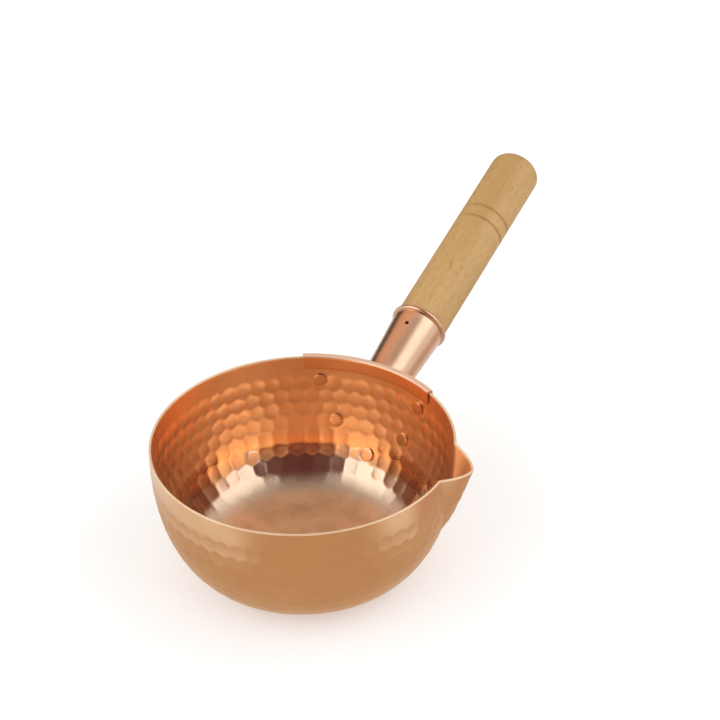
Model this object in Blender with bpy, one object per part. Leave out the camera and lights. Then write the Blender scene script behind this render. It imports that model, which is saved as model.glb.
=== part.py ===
"""A copper round-bottom pan with a pouring spout, a riveted handle bracket and a turned wooden handle.

Metres, +Z up. The origin is the centre of the bowl's flat, on the surface that the pan stands on.
The handle leaves the bowl towards +X and rises. The spout points to -Y, a little towards the handle.
Drops are arc lengths down the outside of the bowl, from its rim.
"""

import bisect
import math

import bmesh
import bpy
from mathutils import Matrix, Vector

# Bowl: one raised copper shell
MOUTH_RADIUS = 0.0750
WALL = 0.0013
BOWL_HEIGHT = 0.0712
FLAT_RADIUS = 0.0380
STRAIGHT_BAND = 0.0036
CURVE_POWER = 2.23

# Spout: two flanks pushed out of the wall, which meet in a ridge
SPOUT_AZIMUTH = math.radians(-77.5)
SPOUT_HALF_ANGLE = math.radians(12.45)
SPOUT_TOE_HALF_ANGLE = math.radians(2.0)
SPOUT_BLEND_ANGLE = math.radians(37.0)
SPOUT_LENGTH = 0.0410
SPOUT_REACH = 0.0110
SPOUT_TOE_STEP = 0.0005
LIP_FLARE = 0.0012
LIP_FLARE_POWER = 6
LIP_DIP = 0.0025
LIP_BAND = 0.0025
FLANK_POWER = 1.6

# Bracket: a plate outside the bowl, folded over the rim into a short flap
SEAT_GAP = 0.0003
PLATE = 0.0009
BRACKET_HALF_WIDTH = 0.0392
FLAP_LENGTH = 0.0068
PLATE_TIP_CUT = 0.0004

# Rivets: two pairs and one below them
RIVET_RADIUS = 0.00175
RIVET_HEAD_RADIUS = 0.0036
RIVET_HEAD_THICKNESS = 0.0009
RIVET_HEAD_BEVEL = 0.0002
RIVET_TAIL_RADIUS = 0.0032
RIVET_TAIL_HEIGHT = 0.0013
UPPER_RIVET_DROP = 0.0141
UPPER_RIVET_INSET = 0.0088
LOWER_RIVET_DROP = 0.0372
LOWER_RIVET_INSET = 0.0188
LAST_RIVET_DROP = 0.0531
RIVET_EDGE_MARGIN = 0.0080

# Handle axis: it crosses the bowl's outer radius this far below the rim
AXIS_DROP = 0.0198
HANDLE_RISE = math.radians(16.4)

# Socket: a conical tube, measured along the handle axis from that crossing
SOCKET_MOUTH = 0.0529
SOCKET_SMALL_RADIUS = 0.01155
SOCKET_LARGE_RADIUS = 0.01440
SOCKET_WALL = 0.0010
BEAD_RADIUS = 0.00115
FOOT_FLARE = 0.0014
FOOT_FLARE_LENGTH = 0.0024

# Wooden handle
GRIP_RADIUS = 0.0140
GRIP_LENGTH = 0.1275
TENON_LENGTH = 0.0400
TENON_CHAMFER = 0.0010
SHOULDER_LENGTH = 0.0015
END_ROUNDING = 0.0062
END_CROWN = 0.0010
GROOVE_WIDTH = 0.0016
GROOVE_DEPTH = 0.0008
FIRST_GROOVE_FROM_END = 0.0461
GROOVE_SPACING = 0.0083

# Nail through the socket into the tenon
NAIL_FROM_MOUTH = 0.0114
NAIL_RADIUS = 0.0006
NAIL_HEAD_RADIUS = 0.0008
NAIL_HEAD_HEIGHT = 0.0007
NAIL_POINT_LENGTH = 0.0015
NAIL_LENGTH = 0.0140
NAIL_SINK = 0.0003

# Mesh counts
BOWL_COLUMNS = 72
SPOUT_COLUMNS = 14
SPOUT_ROWS = 7
LOWER_ROWS = 9
PLATE_COLUMNS = 18
PLATE_ROWS = 12
FOLD_STEPS = 3
ROUND_STEPS = 40
SMALL_ROUND_STEPS = 20
ARC_STEPS = 8
DOME_STEPS = 4
PROFILE_SAMPLES = 160
SEARCH_STEPS = 40
SHARP_ANGLE = math.radians(35)

OUTER_RADIUS = MOUTH_RADIUS + WALL
UPPER_RIVET_OFFSET = BRACKET_HALF_WIDTH - UPPER_RIVET_INSET
LOWER_RIVET_OFFSET = BRACKET_HALF_WIDTH - LOWER_RIVET_INSET
RIVET_SITES = (
    (UPPER_RIVET_DROP, UPPER_RIVET_OFFSET),
    (UPPER_RIVET_DROP, -UPPER_RIVET_OFFSET),
    (LOWER_RIVET_DROP, LOWER_RIVET_OFFSET),
    (LOWER_RIVET_DROP, -LOWER_RIVET_OFFSET),
    (LAST_RIVET_DROP, 0.0),
)


def clear_scene():
    for thing in list(bpy.data.objects):
        bpy.data.objects.remove(thing, do_unlink=True)


def make_material(name, color, roughness, metallic):
    material = bpy.data.materials.new(name)
    material.use_nodes = True
    shader = material.node_tree.nodes["Principled BSDF"]
    shader.inputs["Base Color"].default_value = (*color, 1.0)
    shader.inputs["Roughness"].default_value = roughness
    shader.inputs["Metallic"].default_value = metallic
    return material


def spaced(start, end, steps):
    return [start + (end - start) * i / steps for i in range(steps + 1)]


# Bowl profile

def profile_samples():
    """(drop, radius, height) from the rim down to the edge of the flat, on the outer face."""
    span = OUTER_RADIUS - FLAT_RADIUS
    rise = BOWL_HEIGHT - STRAIGHT_BAND
    power = 2.0 / CURVE_POWER
    points = [(OUTER_RADIUS, BOWL_HEIGHT)]
    for turn in spaced(0.0, math.pi / 2, PROFILE_SAMPLES):
        radius = FLAT_RADIUS + span * max(math.cos(turn), 0.0) ** power
        points.append((radius, rise * (1.0 - math.sin(turn) ** power)))
    samples = [(0.0, *points[0])]
    for before, after in zip(points, points[1:]):
        samples.append((samples[-1][0] + math.dist(before, after), *after))
    return samples


SAMPLES = profile_samples()
DROPS = [sample[0] for sample in SAMPLES]
FLAT_DROP = DROPS[-1]


def wall_frame(drop):
    """The outer face at this drop: radius, height and the outward normal's two parts."""
    i = min(max(bisect.bisect(DROPS, drop), 1), len(DROPS) - 1)
    start, r0, z0 = SAMPLES[i - 1]
    end, r1, z1 = SAMPLES[i]
    share = (drop - start) / (end - start)
    length = math.dist((r0, z0), (r1, z1))
    return r0 + (r1 - r0) * share, z0 + (z1 - z0) * share, (z0 - z1) / length, (r1 - r0) / length


def offset_wall(drop, offset):
    """(radius, height) this far outside the outer face, or inside it for a negative offset."""
    radius, height, normal_r, normal_z = wall_frame(drop)
    return radius + normal_r * offset, height + normal_z * offset


def radius_at(height, offset):
    """The radius, at this height, of the face that lies offset outside the wall."""
    low, high = 0.0, FLAT_DROP
    for _ in range(SEARCH_STEPS):
        middle = (low + high) / 2
        if offset_wall(middle, offset)[1] > height:
            low = middle
        else:
            high = middle
    return offset_wall(low, offset)[0]


def around(radius, azimuth, height):
    return Vector((radius * math.cos(azimuth), radius * math.sin(azimuth), height))


# Mesh helpers

def bridge(bm, lower, upper, closed):
    """Quads between two rows of vertices."""
    count = len(lower)
    for i in range(count if closed else count - 1):
        j = (i + 1) % count
        bm.faces.new((lower[i], lower[j], upper[j], upper[i]))


def finish_mesh(bm, name, material, parent=None):
    """Makes the object, shaded smooth with its sharp edges kept."""
    mesh = bpy.data.meshes.new(name)
    bm.to_mesh(mesh)
    bm.free()
    mesh.shade_smooth()
    mesh.set_sharp_from_angle(angle=SHARP_ANGLE)
    mesh.materials.append(material)
    thing = bpy.data.objects.new(name, mesh)
    bpy.context.scene.collection.objects.link(thing)
    thing.parent = parent
    return thing


def finish_solid(bm, name, material, parent=None):
    bmesh.ops.recalc_face_normals(bm, faces=bm.faces)
    return finish_mesh(bm, name, material, parent)


def turned(name, profile, steps, material, parent=None):
    """A solid turned about its own Z, from (height, radius) points whose ends are on the axis."""
    bm = bmesh.new()
    rows = [
        [bm.verts.new(around(radius, math.tau * i / steps, height)) for i in range(steps)]
        for height, radius in profile[1:-1]
    ]
    for lower, upper in zip(rows, rows[1:]):
        bridge(bm, lower, upper, closed=True)
    for row, (height, _) in ((rows[0], profile[0]), (rows[-1], profile[-1])):
        tip = bm.verts.new((0.0, 0.0, height))
        for i in range(steps):
            bm.faces.new((row[i], row[(i + 1) % steps], tip))
    return finish_solid(bm, name, material, parent)


def cut(thing, cutter):
    boolean = thing.modifiers.new("cut by " + cutter.name, "BOOLEAN")
    boolean.operation = "DIFFERENCE"
    boolean.solver = "EXACT"
    boolean.object = cutter
    cutter.hide_render = True
    cutter.display_type = "WIRE"


# Bowl

def spout_share(drop):
    """1 at the lip, 0 at the toe of the spout and below it."""
    return max(0.0, 1.0 - drop / SPOUT_LENGTH)


def spout_half_angle(drop):
    """The mesh columns of the spout close in to its toe, then open again down to the flat."""
    if drop <= SPOUT_LENGTH:
        share = spout_share(drop)
    else:
        share = (drop - SPOUT_LENGTH) / (FLAT_DROP - SPOUT_LENGTH)
    return SPOUT_TOE_HALF_ANGLE + (SPOUT_HALF_ANGLE - SPOUT_TOE_HALF_ANGLE) * share


def column_angles(drop):
    """(angle from the spout's centre, place across the spout or None) of every column at this drop."""
    half = spout_half_angle(drop)
    columns = [(half * place, place) for place in spaced(-1.0, 1.0, SPOUT_COLUMNS)]
    for angle in spaced(SPOUT_HALF_ANGLE, math.tau - SPOUT_HALF_ANGLE, BOWL_COLUMNS)[1:-1]:
        away = min(angle, math.tau - angle)
        if away < SPOUT_BLEND_ANGLE:
            share = (away - SPOUT_HALF_ANGLE) / (SPOUT_BLEND_ANGLE - SPOUT_HALF_ANGLE)
            shift = half + share * (SPOUT_BLEND_ANGLE - half) - away
            angle += shift if angle < math.pi else -shift
        columns.append((angle, None))
    return columns


def spout_push(drop, place):
    """How far the wall moves out along the spout, and down, at this place across it."""
    if place is None or drop > SPOUT_LENGTH:
        return 0.0, 0.0
    share = spout_share(drop)
    crown = 1.0 - abs(place) ** FLANK_POWER
    straight = SPOUT_TOE_STEP + (SPOUT_REACH - LIP_FLARE - SPOUT_TOE_STEP) * share
    return crown * (straight + LIP_FLARE * share**LIP_FLARE_POWER), crown * LIP_DIP * share


def bowl_row(bm, drop):
    radius, height = offset_wall(drop, 0.0)
    outward = around(1.0, SPOUT_AZIMUTH, 0.0)
    row = []
    for angle, place in column_angles(drop):
        out, down = spout_push(drop, place)
        point = around(radius, SPOUT_AZIMUTH + angle, height - down)
        row.append(bm.verts.new(point + outward * out))
    return row


def make_bowl(material):
    bm = bmesh.new()
    drops = [0.0, *spaced(LIP_BAND, SPOUT_LENGTH, SPOUT_ROWS)]
    drops += spaced(SPOUT_LENGTH, FLAT_DROP, LOWER_ROWS)[1:]
    rows = [bowl_row(bm, drop) for drop in drops]
    for upper, lower in zip(rows, rows[1:]):
        bridge(bm, lower, upper, closed=True)
    flat = bm.faces.new(rows[-1][::-1])
    bmesh.ops.poke(bm, faces=[flat])
    bowl = finish_mesh(bm, "bowl", material)
    shell = bowl.modifiers.new("copper thickness", "SOLIDIFY")
    shell.thickness = WALL
    shell.offset = -1.0
    shell.use_even_offset = True
    return bowl


# Bracket

def plate_half_width(drop):
    """Half the plate's width: straight edges past the rivets, and a round end below the last one."""
    if drop <= UPPER_RIVET_DROP:
        share = drop / UPPER_RIVET_DROP
        return BRACKET_HALF_WIDTH + (UPPER_RIVET_OFFSET + RIVET_EDGE_MARGIN - BRACKET_HALF_WIDTH) * share
    if drop <= LOWER_RIVET_DROP:
        share = (drop - UPPER_RIVET_DROP) / (LOWER_RIVET_DROP - UPPER_RIVET_DROP)
        return UPPER_RIVET_OFFSET + (LOWER_RIVET_OFFSET - UPPER_RIVET_OFFSET) * share + RIVET_EDGE_MARGIN
    shoulder = LOWER_RIVET_OFFSET + RIVET_EDGE_MARGIN
    run = LAST_RIVET_DROP - LOWER_RIVET_DROP
    reach = math.hypot(run, shoulder)
    slope = math.asin(RIVET_EDGE_MARGIN / reach) - math.atan2(shoulder, run)
    tangent = math.sqrt(reach**2 - RIVET_EDGE_MARGIN**2) * math.cos(slope)
    if drop <= LOWER_RIVET_DROP + tangent:
        return shoulder + (drop - LOWER_RIVET_DROP) * math.tan(slope)
    return math.sqrt(RIVET_EDGE_MARGIN**2 - (drop - LAST_RIVET_DROP) ** 2)


def plate_section(offset):
    """(radius, height, half angle) from the flap's edge, over the rim and down to the plate's end."""
    top_angle = BRACKET_HALF_WIDTH / OUTER_RADIUS
    section = [(*offset_wall(drop, -WALL - offset), top_angle) for drop in (FLAP_LENGTH, FLAP_LENGTH / 2)]
    for edge, first in ((MOUTH_RADIUS, math.pi), (OUTER_RADIUS, math.pi / 2)):
        for turn in spaced(first, first - math.pi / 2, FOLD_STEPS):
            point = (edge + offset * math.cos(turn), BOWL_HEIGHT + offset * math.sin(turn))
            section.append((*point, top_angle))
    end = LAST_RIVET_DROP + RIVET_EDGE_MARGIN - PLATE_TIP_CUT
    for drop in spaced(0.0, end, PLATE_ROWS)[1:]:
        radius, height = offset_wall(drop, offset)
        section.append((radius, height, plate_half_width(drop) / wall_frame(drop)[0]))
    return section


def make_bracket(material):
    bm = bmesh.new()
    near = plate_section(SEAT_GAP)
    far = plate_section(SEAT_GAP + PLATE)
    rows = [
        [bm.verts.new(around(radius, angle * place, height)) for place in spaced(-1.0, 1.0, PLATE_COLUMNS)]
        for radius, height, angle in near + far[::-1]
    ]
    for first, second in zip(rows, rows[1:] + rows[:1]):
        bridge(bm, first, second, closed=False)
    near_rows = rows[:len(near)]
    far_rows = rows[:len(near) - 1:-1]
    for side in (0, -1):
        bridge(bm, [row[side] for row in near_rows], [row[side] for row in far_rows], closed=False)
    return finish_solid(bm, "handle_bracket", material)


# Rivets

def rivet_place(drop, across):
    """A frame on the bowl's outer face, with Z along its outward normal."""
    radius, height, normal_r, normal_z = wall_frame(drop)
    azimuth = across / radius
    point = around(radius, azimuth, height)
    normal = around(normal_r, azimuth, normal_z)
    return Matrix.Translation(point) @ normal.to_track_quat("Z", "Y").to_matrix().to_4x4()


def rivet_profile():
    head = -WALL - SEAT_GAP
    tail = 2 * SEAT_GAP + PLATE
    profile = [
        (head - RIVET_HEAD_THICKNESS, 0.0),
        (head - RIVET_HEAD_THICKNESS, RIVET_HEAD_RADIUS - RIVET_HEAD_BEVEL),
        (head - RIVET_HEAD_THICKNESS + RIVET_HEAD_BEVEL, RIVET_HEAD_RADIUS),
        (head, RIVET_HEAD_RADIUS),
        (head, RIVET_RADIUS),
        (tail, RIVET_RADIUS),
    ]
    for turn in spaced(0.0, math.pi / 2, DOME_STEPS)[:-1]:
        profile.append((tail + RIVET_TAIL_HEIGHT * math.sin(turn), RIVET_TAIL_RADIUS * math.cos(turn)))
    profile.append((tail + RIVET_TAIL_HEIGHT, 0.0))
    return profile


def make_rivets(material):
    for number, site in enumerate(RIVET_SITES, 1):
        rivet = turned(f"rivet_{number}", rivet_profile(), SMALL_ROUND_STEPS, material)
        rivet.matrix_world = rivet_place(*site)


def drill_rivet_holes(bowl, bracket):
    hole_radius = RIVET_RADIUS + SEAT_GAP
    inner = -2 * WALL
    outer = 2 * PLATE + 2 * SEAT_GAP
    profile = [(inner, 0.0), (inner, hole_radius), (outer, hole_radius), (outer, 0.0)]
    for number, site in enumerate(RIVET_SITES, 1):
        drill = turned(f"rivet_drill_{number}", profile, SMALL_ROUND_STEPS, bowl.data.materials[0])
        drill.matrix_world = rivet_place(*site)
        cut(bowl, drill)
        cut(bracket, drill)


# Socket

def tube_radius(along):
    taper = (SOCKET_LARGE_RADIUS - SOCKET_SMALL_RADIUS) / SOCKET_MOUTH
    return SOCKET_SMALL_RADIUS + taper * along


def axis_matrix():
    """Local Z runs out along the handle, and local -X is the upper side."""
    crossing = Vector((OUTER_RADIUS, 0.0, BOWL_HEIGHT - AXIS_DROP))
    return Matrix.Translation(crossing) @ Matrix.Rotation(math.pi / 2 - HANDLE_RISE, 4, "Y")


def foot_along(turn, extra):
    """Where the tube's line at this turn, widened by extra, ends on the bracket's plate."""
    place = axis_matrix()
    offset = 2 * SEAT_GAP + PLATE
    low, high = -2 * SOCKET_LARGE_RADIUS, SOCKET_MOUTH / 2
    for _ in range(SEARCH_STEPS):
        middle = (low + high) / 2
        point = place @ around(tube_radius(middle) + extra, turn, middle)
        if math.hypot(point.x, point.y) > radius_at(point.z, offset):
            high = middle
        else:
            low = middle
    return high


def foot_row(bm, extra, lift):
    row = []
    for i in range(ROUND_STEPS):
        turn = math.tau * i / ROUND_STEPS
        along = foot_along(turn, extra) + lift
        row.append(bm.verts.new(around(tube_radius(along) + extra, turn, along)))
    return row


def ring_row(bm, along, radius):
    return [bm.verts.new(around(radius, math.tau * i / ROUND_STEPS, along)) for i in range(ROUND_STEPS)]


def mouth_bore():
    return tube_radius(SOCKET_MOUTH - BEAD_RADIUS) - SOCKET_WALL


def bead_points():
    """(along, radius) round the rolled bead, from its crease on the tube to the bore."""
    centre = SOCKET_MOUTH - BEAD_RADIUS
    ring = mouth_bore() + BEAD_RADIUS
    crease = -math.asin(min(1.0, max(0.0, 1.0 - SOCKET_WALL / BEAD_RADIUS)))
    return [
        (centre - BEAD_RADIUS * math.cos(turn), ring + BEAD_RADIUS * math.sin(turn))
        for turn in spaced(crease, 1.5 * math.pi, ARC_STEPS)
    ]


def make_socket(material, axis):
    bm = bmesh.new()
    middle = SOCKET_MOUTH / 2
    rows = [
        foot_row(bm, FOOT_FLARE, 0.0),
        foot_row(bm, 0.0, FOOT_FLARE_LENGTH),
        ring_row(bm, middle, tube_radius(middle)),
    ]
    rows += [ring_row(bm, along, radius) for along, radius in bead_points()]
    rows.append(ring_row(bm, middle, tube_radius(middle) - SOCKET_WALL))
    rows.append(foot_row(bm, -SOCKET_WALL, 0.0))
    for first, second in zip(rows, rows[1:] + rows[:1]):
        bridge(bm, first, second, closed=True)
    return finish_solid(bm, "socket", material, axis)


# Wooden handle

def tenon_radius(along):
    return tube_radius(along) - SOCKET_WALL - SEAT_GAP


def handle_profile():
    start = SOCKET_MOUTH - TENON_LENGTH
    shoulder = SOCKET_MOUTH + SEAT_GAP
    end = SOCKET_MOUTH + GRIP_LENGTH
    profile = [
        (start, 0.0),
        (start, tenon_radius(start) - TENON_CHAMFER),
        (start + TENON_CHAMFER, tenon_radius(start + TENON_CHAMFER)),
        (shoulder, mouth_bore() - SEAT_GAP),
        (shoulder + SHOULDER_LENGTH, GRIP_RADIUS),
    ]
    for from_end in (FIRST_GROOVE_FROM_END + GROOVE_SPACING, FIRST_GROOVE_FROM_END):
        centre = end - from_end
        profile.append((centre - GROOVE_WIDTH / 2, GRIP_RADIUS))
        profile.append((centre, GRIP_RADIUS - GROOVE_DEPTH))
        profile.append((centre + GROOVE_WIDTH / 2, GRIP_RADIUS))
    for turn in spaced(0.0, math.pi / 2, ARC_STEPS):
        radius = GRIP_RADIUS - END_ROUNDING + END_ROUNDING * math.cos(turn)
        profile.append((end - END_ROUNDING + END_ROUNDING * math.sin(turn), radius))
    profile.append((end + END_CROWN, 0.0))
    return profile


# Nail

def nail_top():
    """The nail's top, as a distance from the handle axis."""
    return tube_radius(SOCKET_MOUTH - NAIL_FROM_MOUTH) - NAIL_SINK


def nail_matrix():
    """Local Z points up out of the socket, square to the handle axis, from that axis."""
    along = Matrix.Translation((0.0, 0.0, SOCKET_MOUTH - NAIL_FROM_MOUTH))
    return along @ Matrix.Rotation(-math.pi / 2, 4, "Y")


def nail_profile():
    top = nail_top()
    point = top - NAIL_LENGTH
    return [
        (point, 0.0),
        (point + NAIL_POINT_LENGTH, NAIL_RADIUS),
        (top - NAIL_HEAD_HEIGHT, NAIL_RADIUS),
        (top - NAIL_HEAD_HEIGHT, NAIL_HEAD_RADIUS),
        (top, NAIL_HEAD_RADIUS),
        (top, 0.0),
    ]


def drill_nail_hole(name, thing, radius, low, axis):
    high = nail_top() + 2 * SOCKET_WALL
    profile = [(low, 0.0), (low, radius), (high, radius), (high, 0.0)]
    drill = turned(name, profile, SMALL_ROUND_STEPS, thing.data.materials[0], axis)
    drill.matrix_local = nail_matrix()
    cut(thing, drill)


def main():
    clear_scene()
    copper = make_material("copper", (0.80, 0.42, 0.26), 0.28, 1.0)
    plate_copper = make_material("plate_copper", (0.78, 0.40, 0.25), 0.25, 1.0)
    rivet_copper = make_material("rivet_copper", (0.74, 0.37, 0.22), 0.35, 1.0)
    wood = make_material("wood", (0.60, 0.37, 0.17), 0.6, 0.0)
    steel = make_material("dark_steel", (0.06, 0.05, 0.045), 0.5, 1.0)

    bowl = make_bowl(copper)
    bracket = make_bracket(plate_copper)
    make_rivets(rivet_copper)
    drill_rivet_holes(bowl, bracket)

    axis = bpy.data.objects.new("handle_axis", None)
    bpy.context.scene.collection.objects.link(axis)
    axis.matrix_world = axis_matrix()

    socket = make_socket(plate_copper, axis)
    handle = turned("wooden_handle", handle_profile(), ROUND_STEPS, wood, axis)
    nail = turned("handle_nail", nail_profile(), SMALL_ROUND_STEPS, steel, axis)
    nail.matrix_local = nail_matrix()
    below_nail = nail_top() - NAIL_LENGTH - SEAT_GAP
    inside_bore = tenon_radius(SOCKET_MOUTH - NAIL_FROM_MOUTH) / 2
    drill_nail_hole("nail_drill_wood", handle, NAIL_RADIUS + SEAT_GAP, below_nail, axis)
    drill_nail_hole("nail_drill_socket", socket, NAIL_HEAD_RADIUS + SEAT_GAP, inside_bore, axis)


main()
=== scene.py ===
"""The looks of the copper round-bottom pan: hammered bowl, bracket, rivets, socket, nail and wooden handle.

Metres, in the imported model's frame. Drops are arc lengths down the outside of the bowl, from its rim.
"""

import math

import bmesh
import bpy
import numpy as np
from mathutils import Matrix, Vector


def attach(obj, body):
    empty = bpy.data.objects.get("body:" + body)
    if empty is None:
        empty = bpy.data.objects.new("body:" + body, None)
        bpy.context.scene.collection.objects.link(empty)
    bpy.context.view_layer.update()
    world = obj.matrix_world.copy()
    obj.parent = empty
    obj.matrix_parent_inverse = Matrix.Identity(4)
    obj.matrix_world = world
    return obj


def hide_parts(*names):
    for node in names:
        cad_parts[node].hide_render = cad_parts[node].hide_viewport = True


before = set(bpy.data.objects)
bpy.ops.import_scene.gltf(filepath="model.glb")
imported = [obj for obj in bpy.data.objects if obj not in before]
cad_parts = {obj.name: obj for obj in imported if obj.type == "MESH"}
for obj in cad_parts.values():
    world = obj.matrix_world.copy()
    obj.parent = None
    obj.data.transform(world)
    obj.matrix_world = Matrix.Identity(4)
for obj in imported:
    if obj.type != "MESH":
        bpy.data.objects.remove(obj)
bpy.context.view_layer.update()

# Bowl
MOUTH_RADIUS = 0.0750
WALL = 0.0013
OUTER_RADIUS = MOUTH_RADIUS + WALL
BOWL_HEIGHT = 0.0712
FLAT_RADIUS = 0.0380
STRAIGHT_BAND = 0.0036
CURVE_POWER = 2.23
PROFILE_POINTS = 801
LIP_ROUND = 0.0006
LIP_STEPS = 3

# Spout
SPOUT_AZIMUTH = math.radians(-77.5)
SPOUT_HALF_ANGLE = math.radians(12.45)
SPOUT_TOE_HALF_ANGLE = math.radians(2.0)
SPOUT_BLEND_ANGLE = math.radians(37.0)
SPOUT_LENGTH = 0.0410
SPOUT_REACH = 0.0110
SPOUT_TOE_STEP = 0.0005
LIP_FLARE = 0.0012
LIP_FLARE_POWER = 6
LIP_DIP = 0.0025
FLANK_POWER = 1.6

# Hammer marks: each row's drop, count round the bowl, azimuth of one mark in degrees, and height
HAMMER_ROWS = (
    (0.0162, 58, 60.9, 0.00040),
    (0.0238, 58, 57.8, 0.00038),
    (0.0312, 58, 62.0, 0.00034),
    (0.0386, 57, 59.0, 0.00028),
    (0.0462, 52, 61.7, 0.00024),
    (0.0540, 50, 41.0, 0.00025),
    (0.0614, 47, 37.4, 0.00022),
    (0.0688, 42, 40.0, 0.00012),
)
MARK_RADIUS = 0.0046
MARK_POWER = 2.8
MARK_BLEND = 0.000025
MARK_CUT = 2.0
OUTSIDE_MARK_SHARE = 0.80

# How the marks vary: shares of their pitch, metres down, shares of their size and of their height
MARK_SEED = 11
MARK_SHIFT_ROUND = 0.055
MARK_SHIFT_DOWN = 0.00035
MARK_SIZES = (0.94, 1.07)
MARK_STRENGTHS = (0.8, 1.2)

# Where the marks fade: by shares of the spout's half angle, below its toe, round a rivet, and in a flattened patch
SPOUT_FADE = (0.9, 1.4)
TOE_FADE = 0.004
RIVET_FADE = (0.0034, 0.0056)
RIVET_MARK_SHARE = 0.15
PATCH_DEGREES = ((7.0, 14.0), (38.0, 46.0))
PATCH_DROPS = ((0.018, 0.022), (0.037, 0.041))
PATCH_LOSS = 0.2

# Bracket and rivets
SEAT_GAP = 0.0003
PLATE = 0.0009
BRACKET_HALF_WIDTH = 0.0392
FLAP_LENGTH = 0.0068
FLAP_TOP = 0.0008
PLATE_COLUMNS = 72
PLATE_BOW_START = 0.002
PLATE_BOW_TURN = 0.27
PLATE_END_TRIM = 0.00005
PLATE_BEVEL = 0.00022
RIVET_RADIUS = 0.00175
RIVET_HEAD_RADIUS = 0.0036
RIVET_HEAD_THICKNESS = 0.0009
RIVET_HEAD_ROUND = 0.00022
RIVET_HEAD_CROWN = 0.00004
RIVET_TAIL_RADIUS = 0.0032
RIVET_TAIL_HEIGHT = 0.0013
RIVET_EDGE_MARGIN = 0.0080
UPPER_RIVET = (0.0141, 0.0304)
LOWER_RIVET = (0.0372, 0.0204)
LAST_RIVET = (0.0531, 0.0)
RIVET_SITES = (
    UPPER_RIVET,
    (UPPER_RIVET[0], -UPPER_RIVET[1]),
    LOWER_RIVET,
    (LOWER_RIVET[0], -LOWER_RIVET[1]),
    LAST_RIVET,
)

# Handle
AXIS_DROP = 0.0198
HANDLE_RISE = math.radians(16.4)
SOCKET_MOUTH = 0.0529
SOCKET_SMALL_RADIUS = 0.01155
SOCKET_LARGE_RADIUS = 0.01440
SOCKET_WALL = 0.0010
BEAD_RADIUS = 0.00115
CREASE_DEPTH = 0.0004
FOOT_FLARE = 0.0014
FOOT_FLARE_LENGTH = 0.0024
FOOT_SHARES = (0.0, 0.12, 0.3, 0.55, 1.0)
TUBE_STATIONS = (0.018, 0.028, 0.038, 0.046)
TUBE_INNER_STATION = 0.020
CREASE_STATIONS = ((0.0009, 0.0), (0.0006, 0.00005), (0.0003, CREASE_DEPTH))
GRIP_RADIUS = 0.0140
GRIP_LENGTH = 0.1275
TENON_LENGTH = 0.0400
SHOULDER_LENGTH = 0.0015
END_ROUNDING = 0.0062
END_CROWN = 0.0010
END_CENTRE_RADIUS = 0.003
GROOVE_WIDTH = 0.0018
GROOVE_DEPTH = 0.0012
GROOVE_POWERS = (1.5, 0.9)
FIRST_GROOVE_FROM_END = 0.0461
GROOVE_SPACING = 0.0083
PLAIN_MARGINS = (0.006, 0.004)
NAIL_FROM_MOUTH = 0.0114
NAIL_RADIUS = 0.0006
NAIL_HEAD_RADIUS = 0.0008
NAIL_HEAD_THICKNESS = 0.0007
NAIL_HEAD_EDGES = ((0.0002, 1.0), (0.00005, 0.8))
NAIL_SINK = 0.0003
NAIL_LENGTH = 0.0140
NAIL_POINT = 0.0015
NAIL_HOLE_REACH = 0.002

# Columns round the handle's pieces, and the halvings in the two searches for a place on the wall
HANDLE_STEPS = 96
HALVINGS = 40
FOOT_HALVINGS = 30


# Mesh helpers

def spaced(start, end, steps):
    return [start + (end - start) * i / steps for i in range(steps + 1)]


def around(radius, azimuth, height):
    return Vector((radius * math.cos(azimuth), radius * math.sin(azimuth), height))


def make_object(name, vertices, faces, materials, matrix=None, face_slots=None):
    """A smooth-shaded mesh in the row frame, with its normals turned outwards."""
    mesh = bpy.data.meshes.new(name)
    mesh.from_pydata(vertices, [], faces)
    if matrix is not None:
        mesh.transform(matrix)
    bm = bmesh.new()
    bm.from_mesh(mesh)
    bmesh.ops.recalc_face_normals(bm, faces=bm.faces)
    bm.to_mesh(mesh)
    bm.free()
    for material in materials:
        mesh.materials.append(material)
    if face_slots is not None:
        mesh.polygons.foreach_set("material_index", face_slots)
    mesh.shade_smooth()
    thing = bpy.data.objects.new(name, mesh)
    bpy.context.scene.collection.objects.link(thing)
    return thing


def ring_faces(rows, count, closed_rows=False):
    """Quads between rings of count vertices, row after row."""
    faces = []
    pairs = [(i, i + 1) for i in range(rows - 1)] + ([(rows - 1, 0)] if closed_rows else [])
    for a, b in pairs:
        for j in range(count):
            k = (j + 1) % count
            faces.append((a * count + j, a * count + k, b * count + k, b * count + j))
    return faces


def grid_faces(rows, columns):
    """Quads of an open grid, so many down and across."""
    step = columns + 1
    return [
        (i * step + j, i * step + j + 1, (i + 1) * step + j + 1, (i + 1) * step + j)
        for i in range(rows) for j in range(columns)
    ]


def turned(name, profile, steps, material, matrix):
    """A solid turned about local Z, from (height, radius) points whose ends are on the axis."""
    rings = profile[1:-1]
    vertices = [around(radius, math.tau * i / steps, height) for height, radius in rings for i in range(steps)]
    faces = ring_faces(len(rings), steps)
    first = len(vertices)
    vertices += [(0.0, 0.0, profile[0][0]), (0.0, 0.0, profile[-1][0])]
    last_ring = (len(rings) - 1) * steps
    for i in range(steps):
        k = (i + 1) % steps
        faces.append((first, k, i))
        faces.append((first + 1, last_ring + i, last_ring + k))
    return make_object(name, vertices, faces, [material], matrix)


def sharpen(thing, degrees):
    thing.data.set_sharp_from_angle(angle=math.radians(degrees))


def bevel(thing, width, segments, degrees):
    edge = thing.modifiers.new("soft edges", "BEVEL")
    edge.width = width
    edge.segments = segments
    edge.limit_method = "ANGLE"
    edge.angle_limit = math.radians(degrees)


def bake_modifiers(thing):
    made = bpy.data.meshes.new_from_object(thing.evaluated_get(bpy.context.evaluated_depsgraph_get()))
    thing.modifiers.clear()
    thing.data = made
    made.shade_smooth()


# Bowl profile

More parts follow.
